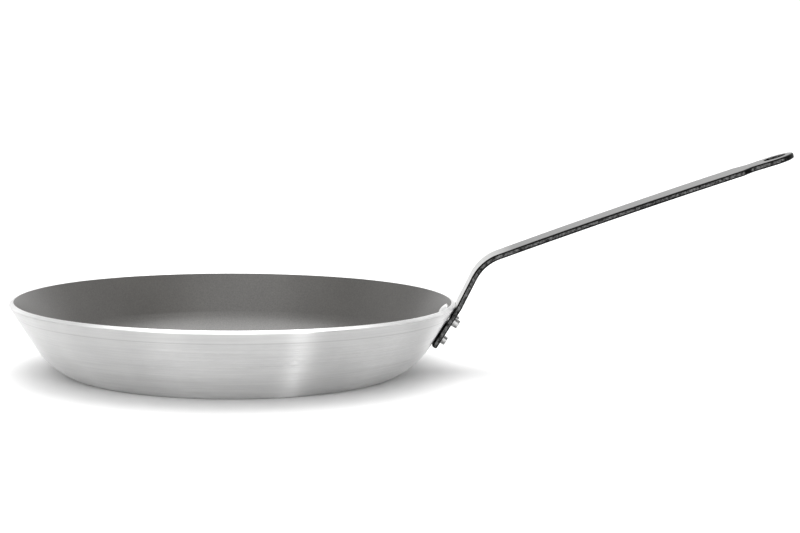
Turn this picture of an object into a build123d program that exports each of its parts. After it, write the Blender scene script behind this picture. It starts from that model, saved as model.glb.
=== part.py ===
from build123d import *
import os
from math import acos, asin, atan2, cos, degrees, hypot, radians, sin, sqrt

# Omelette pan: a pressed aluminium body with a non-stick lining, and a bent steel strip for a
# handle, held by three solid rivets.
# Millimetres and degrees. The origin is the centre of the flat base, on the surface that the pan
# stands on. +Z is up and the handle points along +X.

# Body. Angles are from the horizontal.
rim_diameter = 320.0        # outermost edge
rim_edge_height = 49.3      # of that edge, above the base
wall_angle = 58.5           # of the straight wall
turn_radius = 53.2          # outer curve from the base to the straight wall
base_edge_angle = 25.5      # at which that curve leaves the base
base_edge_round = 3.0
floor_round = 20.0          # inside, from the floor to the turn
metal_thickness = 3.8
rim_outer_round = 1.0
rim_inner_round = 0.5

# Lining
lining_thickness = 0.2
lining_stop = 0.6           # its edge, below the rim's end face

# Handle, from the foot on the wall to the eye at the tip
neck_width = 30.5           # of the tapered strip, at the rim's edge
tip_width = 36.1            # as if it ran on to the tip
strip_thickness = 4.0
strip_edge_round = 1.2
foot_share = 0.99           # of the straight wall that the foot covers
foot_corner_round = 1.0
kink_angle = 5.6            # of the slight bend over the rim's rounded edge
kink_radius = 12.0          # of the face on the wall
neck_length = 23.5
bend_radius = 31.7          # at the middle of the strip
grip_angle = 20.9           # where the grip begins
grip_length = 222.7
grip_droop = 2.3            # by which it has levelled out at the tip
eye_diameter = 30.4
hang_hole_diameter = 16.0
hang_hole_back = 13.3       # from the tip to its middle
throat_width = 25.2         # between the corners of the throat, before they are rounded
throat_back = 32.5          # from the tip
throat_round = 8.0
shoulder_back = 40.0        # from the tip
shoulder_round = 4.0

# Rivets. Their places down the foot are shares of its length from the rim's edge.
upper_rivet_share = 0.324
lower_rivet_share = 0.801
rivet_spread = 21.2         # between the two upper rivets
shank_diameter = 5.0
head_diameter = 12.6
head_edge = 0.8
head_height = 2.8
set_diameter = 6.4          # the end that is hammered over, outside
set_height = 4.3
set_round = 0.5

# How far a cutting tool reaches past what it cuts
overrun = 5.0

# Places that follow from these sizes
right_angle = 90
rim_radius = rim_diameter / 2
wall_thickness = metal_thickness + lining_thickness
wall_cos, wall_sin = cos(radians(wall_angle)), sin(radians(wall_angle))
turn_rise = turn_radius * (cos(radians(base_edge_angle)) - wall_cos)
straight_wall = (rim_edge_height - turn_rise) / wall_sin
turn_centre_across = rim_radius - straight_wall * wall_cos - turn_radius * wall_sin
turn_centre_height = turn_rise + turn_radius * wall_cos
foot_length = foot_share * straight_wall

# The wall's plane under the handle, from the rim's edge: X down the wall, Y across it, Z out of it
foot_plane = Plane(
    origin=(rim_radius, 0, rim_edge_height),
    x_dir=(-wall_cos, 0, -wall_sin),
    z_dir=(wall_sin, 0, -wall_cos),
)


def trail(start, heading, steps):
    """Curves end to end: a step is a length or radius, and its turn. One of no length is a corner."""
    curves, point = [], Vector(*start)
    for size, turn in steps:
        direction = Vector(cos(radians(heading)), sin(radians(heading)))
        if size and turn:
            curves.append(JernArc(point, direction, size, turn))
        elif size:
            curves.append(Line(point, point + direction * size))
        point, heading = curves[-1] @ 1, heading + turn
    return curves


def turned(curves):
    """Solid of revolution about Z, from curves that begin and end on it."""
    closing = Line(curves[-1] @ 1, curves[0] @ 0)
    return revolve(Plane.XZ * make_face(curves + [closing]), Axis.Z)


def surface(depth, corner_round, run):
    """Steps from the axis to the wall's end, along the surface at a depth under the outer one."""
    radius = turn_radius - depth
    drop = turn_centre_height - depth - corner_round
    across = sqrt((radius - corner_round) ** 2 - drop**2)
    angle = degrees(atan2(across, drop))
    return [(turn_centre_across + across, 0), (corner_round, angle), (radius, wall_angle - angle), (run, 0)]


def layer(outer_depth, outer_round, inner_depth, inner_round, run, outer_end=0, inner_end=0):
    """Shell between two such surfaces, ended square to the wall with rounded edges."""
    flat_end = inner_depth - outer_depth - outer_end - inner_end
    up = surface(outer_depth, outer_round, run - outer_end)
    over = [(outer_end, right_angle), (flat_end, 0), (inner_end, right_angle)]
    down = [(size, -turn) for size, turn in reversed(surface(inner_depth, inner_round, run - inner_end))]
    return turned(trail((0, outer_depth), 0, up + over + down))


def strip_face(depth):
    """Side view of the strip's face at a depth from the one on the wall, from foot to tip."""
    start = foot_plane.from_local_coords(Vector(foot_length, 0, depth))
    steps = [
        (foot_length - rim_outer_round, 0),
        (kink_radius + depth, kink_angle),
        (neck_length, 0),
        (bend_radius + strip_thickness / 2 - depth, grip_angle - kink_angle - wall_angle),
        (grip_length / radians(grip_droop) - depth, -grip_droop),
    ]
    return trail((start.X, start.Z), wall_angle, steps)


def half_width(place, tip):
    """Of the tapered strip, at a place along X."""
    share = (place - rim_radius) / (tip - rim_radius)
    return (neck_width + (tip_width - neck_width) * share) / 2


def bent_strip():
    """The strip with its tapered sides, and the plane at its tip."""
    upper, lower = strip_face(0), strip_face(strip_thickness)
    ends = [Line(upper[0] @ 0, lower[0] @ 0), Line(upper[-1] @ 1, lower[-1] @ 1)]
    strip = extrude(Plane.XZ * make_face(upper + lower + ends), tip_width / 2, both=True)
    tip, back = upper[-1] @ 1, -(upper[-1] % 1)
    tip_plane = Plane(origin=(tip.X, 0, tip.Y), x_dir=(back.X, 0, back.Y), z_dir=(back.Y, 0, -back.X))
    side = [(place, half_width(place, tip.X)) for place in (rim_radius - foot_length, tip.X + overrun)]
    other = [(place, -half) for place, half in reversed(side)]
    plan = make_face(Polyline(*side, *other, close=True))
    return strip & extrude(plan, strip.bounding_box().max.Z), tip_plane


def eye_outline(shoulder):
    """Plan of the tip, back from its end: an eye, and a throat that opens past the shoulders."""
    eye_radius, throat = eye_diameter / 2, throat_width / 2
    reach, rise = throat_back - eye_radius, atan2(throat, throat_back - eye_radius)
    touch = rise + acos(eye_radius / hypot(reach, throat))
    opening = 1 + overrun / (shoulder - throat)
    half = [
        (eye_radius * (1 + cos(touch)), eye_radius * sin(touch)),
        (throat_back, throat),
        (throat_back + (shoulder_back - throat_back) * opening, shoulder + overrun),
    ]
    other = [(across, -side) for across, side in reversed(half)]
    outline = make_face(Polyline(*half, *other, close=True))
    corners = [outline.vertices().sort_by_distance((throat_back, side, 0))[0] for side in (throat, -throat)]
    return fillet(corners, throat_round) + Pos(X=eye_radius) * Circle(eye_radius)


def end_waste(outline):
    """What lies outside the eye's outline, from past the tip to the outline's end."""
    box = outline.bounding_box()
    length = box.max.X + overrun
    field = Pos(X=length / 2 - overrun) * Rectangle(length, box.size.Y)
    return extrude(field - outline, strip_thickness + overrun, both=True)


def rounded_corners(strip, middle, half, radius):
    """The strip with the two edges through its thickness rounded that lie at half a width aside."""
    places = [middle + Vector(0, side, 0) for side in (half, -half)]
    corners = [strip.edges().sort_by_distance(place)[0] for place in places]
    return fillet(corners, radius)


def rounded_sides(strip):
    """The strip with both edges of its sides rounded, all the way round."""
    middle = Wire(strip_face(strip_thickness / 2))

    def is_side(face):
        place = face.center(CenterOf.GEOMETRY)
        return middle.distance_to(Vector(place.X, place.Z)) < strip_thickness / 4

    sides = strip.faces().filter_by(is_side)
    broad = strip.faces() - sides
    return fillet(sides.edges() & broad.edges(), strip_edge_round)


def handle():
    strip, tip_plane = bent_strip()
    foot_end = foot_plane.from_local_coords(Vector(foot_length, 0, strip_thickness / 2))
    shoulder_place = tip_plane.from_local_coords(Vector(shoulder_back, 0, -strip_thickness / 2))
    tip = tip_plane.origin.X
    shoulder, foot = half_width(shoulder_place.X, tip), half_width(foot_end.X, tip)
    strip -= tip_plane * end_waste(eye_outline(shoulder))
    strip = rounded_corners(strip, shoulder_place, shoulder, shoulder_round)
    strip = rounded_corners(strip, foot_end, foot, foot_corner_round)
    strip = rounded_sides(strip)
    hole = Cylinder(hang_hole_diameter / 2, 2 * (strip_thickness + overrun))
    return strip - tip_plane.location * Pos(X=hang_hole_back) * hole


def rivet_seat(drop_share, across):
    """Where a rivet's head sits on the lining, with Z into the pan, and how deep it grips."""
    drop = drop_share * foot_length
    wall_away = across**2 * wall_sin / (2 * (rim_radius - drop * wall_cos))
    depth = wall_thickness + wall_away
    return foot_plane.location * Pos(drop, across, -depth) * Rot(2 * right_angle, 0, 0), depth


def rivet(seat, depth, wall):
    """A domed head shaped to the lining, and a shank set into a round end outside the strip."""
    head_radius, crown = head_diameter / 2, head_height - head_edge
    crown_radius = (head_radius**2 + crown**2) / (2 * crown)
    dome = JernArc((0, head_height), (1, 0), crown_radius, -degrees(asin(head_radius / crown_radius)))
    sink = head_edge + wall_thickness / 2
    skirt = trail(dome @ 1, -right_angle, [(sink, 0), (0, -right_angle), (head_radius, 0)])
    head = seat * turned([dome] + skirt) - wall

    set_radius, shank_radius = set_diameter / 2, shank_diameter / 2
    grip = depth + strip_thickness
    steps = [
        (set_radius - set_round, 0),
        (set_round, right_angle),
        (set_height - set_round, 0),
        (0, right_angle),
        (set_radius - shank_radius, 0),
        (0, -right_angle),
        (grip + head_edge, 0),
        (0, right_angle),
        (shank_radius, 0),
    ]
    shank = turned(trail((0, -grip - set_height), 0, steps))
    return head + seat * shank


lining_round = floor_round - lining_thickness
body = layer(
    0, base_edge_round, metal_thickness, floor_round, straight_wall, rim_outer_round, rim_inner_round
)
lining = layer(metal_thickness, floor_round, wall_thickness, lining_round, straight_wall - lining_stop)
wall = layer(0, base_edge_round, wall_thickness, lining_round, straight_wall)
strip = handle()

rivet_places = {
    "upper_rivet_left": (upper_rivet_share, rivet_spread / 2),
    "upper_rivet_right": (upper_rivet_share, -rivet_spread / 2),
    "lower_rivet": (lower_rivet_share, 0),
}
pieces = {}
for name, place in rivet_places.items():
    seat, depth = rivet_seat(*place)
    hole = seat * Cylinder(shank_diameter / 2, 2 * (depth + strip_thickness + overrun))
    body, lining, strip = body - hole, lining - hole, strip - hole
    pieces[name] = rivet(seat, depth, wall)
pieces |= {"pan_body": body, "nonstick_lining": lining, "handle": strip}

os.makedirs("parts", exist_ok=True)
for name, piece in pieces.items():
    export_step(piece, f"parts/{name}.step")
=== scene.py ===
from math import cos, radians, sin

import bpy
from mathutils import Matrix, Vector

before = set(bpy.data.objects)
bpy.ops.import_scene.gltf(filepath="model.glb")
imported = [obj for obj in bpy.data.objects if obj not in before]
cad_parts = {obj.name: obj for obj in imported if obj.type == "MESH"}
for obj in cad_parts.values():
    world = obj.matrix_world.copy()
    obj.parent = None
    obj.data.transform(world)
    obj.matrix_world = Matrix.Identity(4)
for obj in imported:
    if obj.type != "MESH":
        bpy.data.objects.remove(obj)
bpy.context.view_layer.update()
scene = bpy.context.scene

# Camera, as solved from the photograph of 800 x 533 pixels
PHOTO_WIDTH = 800
FOCAL_PIXELS = 1676.0
CAMERA_AWAY = 1.2083        # from the pan's axis
CAMERA_HEIGHT = 0.21065
CAMERA_ROUND = 6.0          # degrees from -Y towards +X
CAMERA_TURN = 0.351         # degrees from +Y towards -X
CAMERA_TILT = 6.394         # degrees down
CAMERA_ROLL = 0.802         # degrees
CLIP_START = 0.01

# Light of the room, in soft round patches: degrees from -Y towards +X, degrees up, degrees from
# the patch's middle to where it is full and to where it ends, and strength
ROOM_DARK = 0.02
PATCHES = (
    (180.0, 48.0, 20.0, 42.0, 0.45),
    (180.0, 8.0, 25.0, 50.0, 1.0),
    (180.0, 82.0, 18.0, 44.0, 3.3),
    (0.0, 15.0, 25.0, 50.0, 1.5),
    (-45.0, 20.0, 20.0, 40.0, 0.6),
    (-110.0, 15.0, 25.0, 45.0, 0.7),
    (110.0, 15.0, 25.0, 45.0, 0.6),
    (40.0, 10.0, 4.0, 5.0, 26.0),
)
CAMERA_WHITE = 1.2          # of the room, where the camera sees it

# Floor
FLOOR_SIZE = 40.0
FLOOR_COLOUR = (0.9, 0.9, 0.9, 1.0)

# Pairs named NOISE or TURN are the low and high end of what a change of tone runs over.
NOISE = (0.3, 0.7)

# Turned aluminium of the body
BODY_DARK = (0.58, 0.58, 0.58)
BODY_LIGHT = (0.67, 0.67, 0.665)
BODY_ROUGHNESS = (0.38, 0.42)
BODY_CLOUD = 0.03
CLOUD_TONES = (0.4, 0.6)
STREAK_TONE = 0.12          # by which the coarse rings change the tone, either way
FINE_RINGS = 0.00012        # width
FINE_NOISE = (0.2, 0.8)
COARSE_RINGS = 0.0009
COARSE_NOISE = (0.25, 0.75)
RING_DRIFT = 2.5            # by which the rings change along the way
RING_LEAN = 0.5             # of their flanks, as a slope
SCRIBED_HEIGHT = 0.0421     # of the scribed ring, outside
SCRIBED_WIDTH = 0.0005
SCRIBED_TONE = 0.86
RIM_BEGINS = 0.0488         # height from which the wall's bare end is painted brighter, as a painted highlight
RIM_EDGE = 0.0494
RIM_PAINTED_HIGHLIGHT = 1.45

# Non-stick coating
LINING_DARK = (0.038, 0.036, 0.033)
LINING_LIGHT = (0.09, 0.086, 0.079)
LINING_CLOUD = 0.05
SPECKLE = 0.0011
SPECKLE_SHARE = 0.75        # of the tone. The rest is cloud.
SPECKLE_HEIGHT = 0.00003

# Steel of the handle. Face, edge and sheared side are told apart by which way they look.
FACE_DARK = (0.135, 0.135, 0.135)
FACE_LIGHT = (0.185, 0.185, 0.183)
FACE_NOISE = (0.35, 0.65)
STEEL_ROUGHNESS = (0.34, 0.5)
MOTTLE = 0.0016
MOTTLE_HEIGHT = 0.00004
SHEARED_DARK = (0.01, 0.01, 0.01)
SHEARED_LIGHT = (0.15, 0.15, 0.15)
SHEARED_NOISE = (0.4, 0.62)
SHEARED_GRAIN = 0.0018
TIP_PAINTED_SHADE = 0.1              # of the sheared side where it looks along +X, a painted shade
TIP_TURN = (0.2, 0.5)
# Near-black colour of the rounded edges: a painted dark reflection of the room
PAINTED_EDGE_REFLECTION = (0.008, 0.008, 0.008, 1.0)
EDGE_TURN = (0.15, 0.3)     # sideways, from face to edge
SIDE_TURN = (0.97, 0.995)   # and from edge to sheared side
UPWARD_TURN = (0.0, 0.3)
GRIP_SLOPE = 19.8           # degrees, about the middle of the grip
NECK_ENDS = 0.172           # along X
GRIP_BEGINS = 0.2
NECK_PAINTED_HIGHLIGHT = 3.0            # by which the neck's upward inner face is painted brighter than the grip, a painted highlight

# Rivets
RIVET_DARK = (0.82, 0.82, 0.82)
RIVET_LIGHT = (0.9, 0.9, 0.89)
RIVET_ROUGHNESS = (0.26, 0.34)
RIVET_WEAR = 0.0012
WALL_ANGLE = 58.5           # degrees
WALL_OUTWARD = 0.1107       # outer face of the wall, out along its own normal
STRIP_OUTWARD = 0.1147      # and that of the strip on it
SET_END_PAINTED_SHADE = 0.55         # painted shade of the rivets' outer ends, against their heads


def node(tree, kind, inputs=None, **settings):
    """A new node with its settings. An input is a value, or the output that feeds it."""
    made = tree.nodes.new(kind)
    for name, value in settings.items():
        setattr(made, name, value)
    for key, value in (inputs or {}).items():
        if isinstance(value, bpy.types.NodeSocket):
            tree.links.new(value, made.inputs[key])
        else:
            made.inputs[key].default_value = value
    return made


def maths(tree, operation, *values):
    return node(tree, "ShaderNodeMath", dict(enumerate(values)), operation=operation).outputs[0]


def vector_maths(tree, operation, *values):
    inputs = dict(enumerate(values))
    if operation == "SCALE":
        inputs = {"Vector": values[0], "Scale": values[1]}
    made = node(tree, "ShaderNodeVectorMath", inputs, operation=operation)
    return made.outputs["Value" if operation in ("LENGTH", "DOT_PRODUCT") else "Vector"]


def parts(tree, vector):
    """The outputs X, Y and Z of a vector."""
    return node(tree, "ShaderNodeSeparateXYZ", {0: vector}).outputs


def scaled(tree, value, low, high, to_low, to_high):
    """The value, taken from one range to another and held within it."""
    inputs = {"Value": value, "From Min": low, "From Max": high, "To Min": to_low, "To Max": to_high}
    return node(tree, "ShaderNodeMapRange", inputs).outputs["Result"]


def ramp(tree, value, low, high, dark, light):
    """A colour from dark to light, as the value goes from low to high."""
    made = node(tree, "ShaderNodeValToRGB", {"Fac": value})
    for element, place, colour in zip(made.color_ramp.elements, (low, high), (dark, light)):
        element.position = place
        element.color = (*colour, 1.0)
    return made.outputs["Color"]


def mix(tree, kind, factor, first, second):
    """From the first to the second as the factor goes from 0 to 1. The kind is FLOAT or RGBA."""
    inputs = {"Factor": factor, "A": first, "B": second}
    return node(tree, "ShaderNodeMix", inputs, data_type=kind).outputs["Result"]


def material(name, **settings):
    """A new material, its node tree and its shader, with constants set on the shader's sockets."""
    made = bpy.data.materials.new(name)
    made.use_nodes = True
    shader = made.node_tree.nodes["Principled BSDF"]
    for key, value in settings.items():
        shader.inputs[key.replace("_", " ")].default_value = value
    return made, made.node_tree, shader


def position(tree):
    """The place on the object, in metres."""
    return node(tree, "ShaderNodeTexCoord").outputs["Object"]


def surface_normal(tree):
    return node(tree, "ShaderNodeNewGeometry").outputs["Normal"]


def noise(tree, size, detail=2.0, roughness=0.5):
    """Even noise with grains of about this size in metres."""
    inputs = {"Vector": position(tree), "Scale": 1 / size, "Detail": detail, "Roughness": roughness}
    return node(tree, "ShaderNodeTexNoise", inputs).outputs["Fac"]


def ring_noise(tree, size):
    """Noise in rings of this width in metres, round the pan's axis: fine across them, slow along."""
    place = position(tree)
    flat = vector_maths(tree, "MULTIPLY", place, (1.0, 1.0, 0.0))
    across = maths(tree, "MULTIPLY", vector_maths(tree, "LENGTH", flat), 1 / size)
    direction = vector_maths(tree, "NORMALIZE", flat)
    along = parts(tree, vector_maths(tree, "SCALE", direction, RING_DRIFT))
    coordinates = node(tree, "ShaderNodeCombineXYZ", {"X": along["X"], "Y": along["Y"], "Z": across})
    inputs = {
        "Vector": coordinates.outputs[0],
        "W": maths(tree, "MULTIPLY", parts(tree, place)["Z"], 1 / size),
        "Scale": 1.0,
        "Detail": 1.0,
        "Roughness": 0.5,
    }
    return node(tree, "ShaderNodeTexNoise", inputs, noise_dimensions="4D").outputs["Fac"]


def bump(tree, height, distance):
    inputs = {"Height": height, "Distance": distance, "Strength": 1.0}
    return node(tree, "ShaderNodeBump", inputs).outputs["Normal"]


def brushed_aluminium():
    """Turned rings, seen by the way that they spread reflections up and down the wall."""
    constants = {"Metallic": 1.0, "Roughness": 0.4, "Anisotropic": 1.0, "Anisotropic_Rotation": 0.25}
    made, tree, shader = material("brushed_aluminium", **constants)
    round_axis = node(tree, "ShaderNodeTangent", direction_type="RADIAL", axis="Z").outputs[0]
    tree.links.new(round_axis, shader.inputs["Tangent"])

    fine, coarse = ring_noise(tree, FINE_RINGS), ring_noise(tree, COARSE_RINGS)
    normal = surface_normal(tree)
    across = vector_maths(tree, "NORMALIZE", vector_maths(tree, "CROSS_PRODUCT", normal, round_axis))
    lean = scaled(tree, fine, *FINE_NOISE, -RING_LEAN, RING_LEAN)
    leaning = vector_maths(tree, "ADD", normal, vector_maths(tree, "SCALE", across, lean))
    tree.links.new(vector_maths(tree, "NORMALIZE", leaning), shader.inputs["Normal"])
    tree.links.new(scaled(tree, coarse, *COARSE_NOISE, *BODY_ROUGHNESS), shader.inputs["Roughness"])

    streaks = scaled(tree, coarse, *NOISE, -STREAK_TONE, STREAK_TONE)
    cloud = scaled(tree, noise(tree, BODY_CLOUD), *NOISE, *CLOUD_TONES)
    colour = ramp(tree, maths(tree, "ADD", streaks, cloud), *NOISE, BODY_DARK, BODY_LIGHT)
    height = parts(tree, position(tree))["Z"]
    from_ring = maths(tree, "ABSOLUTE", maths(tree, "SUBTRACT", height, SCRIBED_HEIGHT))
    scribed = scaled(tree, from_ring, SCRIBED_WIDTH / 2, SCRIBED_WIDTH, SCRIBED_TONE, 1.0)
    # The scribed ring darkens the tone, and the wall's bare end is painted brighter: a painted
    # highlight.
    scribed_and_painted_highlight = maths(tree, "MULTIPLY", scribed, scaled(tree, height, RIM_BEGINS, RIM_EDGE, 1.0, RIM_PAINTED_HIGHLIGHT))
    tree.links.new(vector_maths(tree, "SCALE", colour, scribed_and_painted_highlight), shader.inputs["Base Color"])
    return made


def nonstick_coating():
    """Warm dark grey with a fine speckle, and glossy enough to catch the light at the turn."""
    made, tree, shader = material("nonstick_coating", Roughness=0.34, Specular_IOR_Level=1.0)
    speckle = noise(tree, SPECKLE, detail=3.0, roughness=0.7)
    speckles = maths(tree, "MULTIPLY", speckle, SPECKLE_SHARE)
    clouds = maths(tree, "MULTIPLY", noise(tree, LINING_CLOUD), 1 - SPECKLE_SHARE)
    colour = ramp(tree, maths(tree, "ADD", speckles, clouds), *NOISE, LINING_DARK, LINING_LIGHT)
    tree.links.new(colour, shader.inputs["Base Color"])
    tree.links.new(bump(tree, speckle, SPECKLE_HEIGHT), shader.inputs["Normal"])
    return made


def mottled_steel():
    """Grey broad faces with a painted highlight on the neck's inner face, near-black rounded edges that
    are a painted dark reflection, and a rough, mottled grey on the sheared sides, painted darker where
    they look along +X.
    """
    made, tree, shader = material("mottled_steel", Metallic=1.0, Roughness=0.42)
    place = parts(tree, position(tree))["X"]
    normal = surface_normal(tree)
    facing = parts(tree, normal)

    # How far a place looks sideways: along Y on the foot and neck, off the face's normal beyond
    sideways = maths(tree, "ABSOLUTE", facing["Y"])
    slope = radians(GRIP_SLOPE)
    flatness = vector_maths(tree, "DOT_PRODUCT", normal, (-sin(slope), 0.0, cos(slope)))
    squared = maths(tree, "MULTIPLY", flatness, flatness)
    edgeways = maths(tree, "SQRT", maths(tree, "SUBTRACT", 1.0, squared))
    on_grip = maths(tree, "GREATER_THAN", place, GRIP_BEGINS)
    side = mix(tree, "FLOAT", on_grip, sideways, edgeways)

    mottle = noise(tree, MOTTLE, detail=4.0, roughness=0.65)
    face = ramp(tree, mottle, *FACE_NOISE, FACE_DARK, FACE_LIGHT)
    # Painted highlight: the neck's inner face is made brighter where it looks up.
    upward = scaled(tree, facing["Z"], *UPWARD_TURN, 0.0, 1.0)
    neck_painted_highlight = maths(tree, "MULTIPLY", upward, scaled(tree, place, NECK_ENDS, GRIP_BEGINS, NECK_PAINTED_HIGHLIGHT, 0.0))
    face = vector_maths(tree, "SCALE", face, maths(tree, "ADD", neck_painted_highlight, 1.0))

    grain = noise(tree, SHEARED_GRAIN, detail=4.0, roughness=0.75)
    sheared = ramp(tree, grain, *SHEARED_NOISE, SHEARED_DARK, SHEARED_LIGHT)
    # Painted shade: the sheared side is darkened where it looks along +X.
    sheared = vector_maths(tree, "SCALE", sheared, scaled(tree, facing["X"], *TIP_TURN, 1.0, TIP_PAINTED_SHADE))

    # The rounded edges get a painted dark reflection, near black.
    with_painted_edge_reflection = mix(tree, "RGBA", scaled(tree, side, *EDGE_TURN, 0.0, 1.0), face, PAINTED_EDGE_REFLECTION)
    colour = mix(tree, "RGBA", scaled(tree, side, *SIDE_TURN, 0.0, 1.0), with_painted_edge_reflection, sheared)
    tree.links.new(colour, shader.inputs["Base Color"])
    tree.links.new(scaled(tree, mottle, *NOISE, *STEEL_ROUGHNESS), shader.inputs["Roughness"])
    tree.links.new(bump(tree, mottle, MOTTLE_HEIGHT), shader.inputs["Normal"])
    return made


def rivet_metal():
    """Bright heads in the pan, and set ends outside the strip darkened by painted shade."""
    made, tree, shader = material("rivet_metal", Metallic=1.0, Roughness=0.25)
    wear = noise(tree, RIVET_WEAR, detail=3.0)
    colour = ramp(tree, wear, *NOISE, RIVET_DARK, RIVET_LIGHT)
    angle = radians(WALL_ANGLE)
    outward = vector_maths(tree, "DOT_PRODUCT", position(tree), (sin(angle), 0.0, -cos(angle)))
    # Painted shade: the outer set ends are made darker than the heads.
    tone = scaled(tree, outward, WALL_OUTWARD, STRIP_OUTWARD, 1.0, SET_END_PAINTED_SHADE)
    tree.links.new(vector_maths(tree, "SCALE", colour, tone), shader.inputs["Base Color"])
    tree.links.new(scaled(tree, wear, *NOISE, *RIVET_ROUGHNESS), shader.inputs["Roughness"])
    return made


def finish_nodes():
    """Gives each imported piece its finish."""
    rivets = rivet_metal()
    finishes = {
        "pan_body": brushed_aluminium(),
        "nonstick_lining": nonstick_coating(),
        "handle": mottled_steel(),
        "upper_rivet_left": rivets,
        "upper_rivet_right": rivets,
        "lower_rivet": rivets,
    }
    for name, finish in finishes.items():
        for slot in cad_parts[name].material_slots:
            slot.material = finish


def make_floor():
    mesh = bpy.data.meshes.new("floor")
    half = FLOOR_SIZE / 2
    corners = [(-half, -half, 0), (half, -half, 0), (half, half, 0), (-half, half, 0)]
    mesh.from_pydata(corners, [], [(0, 1, 2, 3)])
    constants = {"Base_Color": FLOOR_COLOUR, "Roughness": 0.9, "Specular_IOR_Level": 0.0}
    pale, _, _ = material("pale_floor", **constants)
    mesh.materials.append(pale)
    floor = bpy.data.objects.new("floor", mesh)
    scene.collection.objects.link(floor)


def towards(round_angle, up_angle):
    """The direction to a place in the room: degrees from -Y towards +X, and degrees up."""
    turn, rise = radians(round_angle), radians(up_angle)
    return Vector((sin(turn) * cos(rise), -cos(turn) * cos(rise), sin(rise)))


def make_room():
    """The studio as the pan sees it, in soft patches of light. The camera sees it white."""
    world = bpy.data.worlds.new("studio")
    scene.world = world
    world.use_nodes = True
    tree = world.node_tree
    direction = node(tree, "ShaderNodeTexCoord").outputs["Generated"]
    light = ROOM_DARK
    for round_angle, up_angle, full, end, strength in PATCHES:
        inputs = {
            "Value": vector_maths(tree, "DOT_PRODUCT", direction, towards(round_angle, up_angle)),
            "From Min": cos(radians(end)),
            "From Max": cos(radians(full)),
            "To Max": strength,
        }
        patch = node(tree, "ShaderNodeMapRange", inputs, interpolation_type="SMOOTHSTEP")
        light = maths(tree, "ADD", patch.outputs["Result"], light)
    seen = node(tree, "ShaderNodeLightPath").outputs["Is Camera Ray"]
    background = tree.nodes["Background"]
    background.inputs["Color"].default_value = (1.0, 1.0, 1.0, 1.0)
    tree.links.new(mix(tree, "FLOAT", seen, light, CAMERA_WHITE), background.inputs["Strength"])


def make_camera():
    data = bpy.data.cameras.new("camera")
    data.sensor_fit = "HORIZONTAL"
    data.lens = FOCAL_PIXELS / PHOTO_WIDTH * data.sensor_width
    data.clip_start, data.clip_end = CLIP_START, FLOOR_SIZE
    camera = bpy.data.objects.new("camera", data)
    turn = radians(CAMERA_ROUND)
    place = (CAMERA_AWAY * sin(turn), -CAMERA_AWAY * cos(turn), CAMERA_HEIGHT)
    heading = Matrix.Rotation(radians(CAMERA_TURN), 4, "Z")
    tilt = Matrix.Rotation(radians(90 - CAMERA_TILT), 4, "X")
    roll = Matrix.Rotation(radians(CAMERA_ROLL), 4, "Z")
    camera.matrix_world = Matrix.Translation(place) @ heading @ tilt @ roll
    scene.collection.objects.link(camera)
    scene.camera = camera


finish_nodes()
make_floor()
make_room()
make_camera()
scene.view_settings.view_transform = "Standard"
